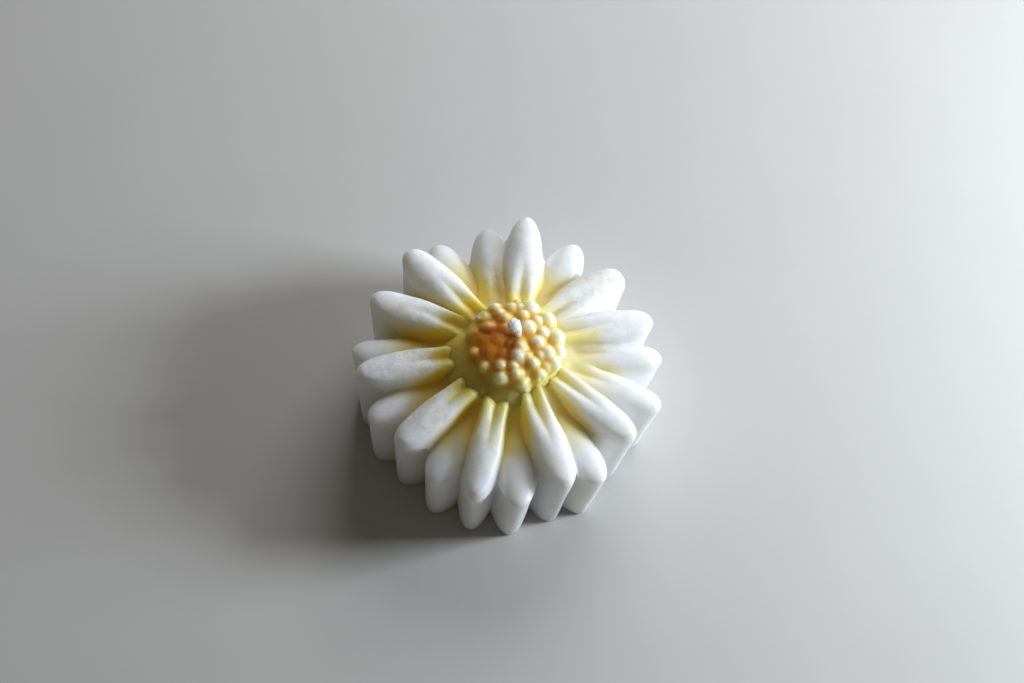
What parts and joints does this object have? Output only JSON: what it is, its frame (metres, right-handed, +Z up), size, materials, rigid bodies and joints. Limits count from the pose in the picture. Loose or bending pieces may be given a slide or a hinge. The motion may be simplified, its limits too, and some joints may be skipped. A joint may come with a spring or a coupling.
{
  "type": "flower candle",
  "caption": "Moulded wax candle shaped as an open daisy head: layered white petals, a domed bumpy yellow disc, a flat base and a cotton wick.",
  "frame": {"origin": "centre of the flat base, on the plane it stands on, under the wick", "axes": "+Z up along the wick, out of the flower's face; +X and +Y lie in the base, and azimuth 270 degrees is the petal nearest to the viewer in the reference picture"},
  "size_m": [0.073, 0.0752, 0.0379],
  "materials": {
    "white_wax": "translucent white wax with a soft satin skin, frosted in patches, tinted yellow near the disc",
    "yellow_wax": "translucent orange-yellow wax, satin, paler where it is thin",
    "cotton": "white twisted cotton, matt, frayed at its tip"
  },
  "bodies": {
    "root": {"wax_body": "white_wax", "wax_disc": "yellow_wax", "wick": "cotton"}
  },
  "joints": []
}
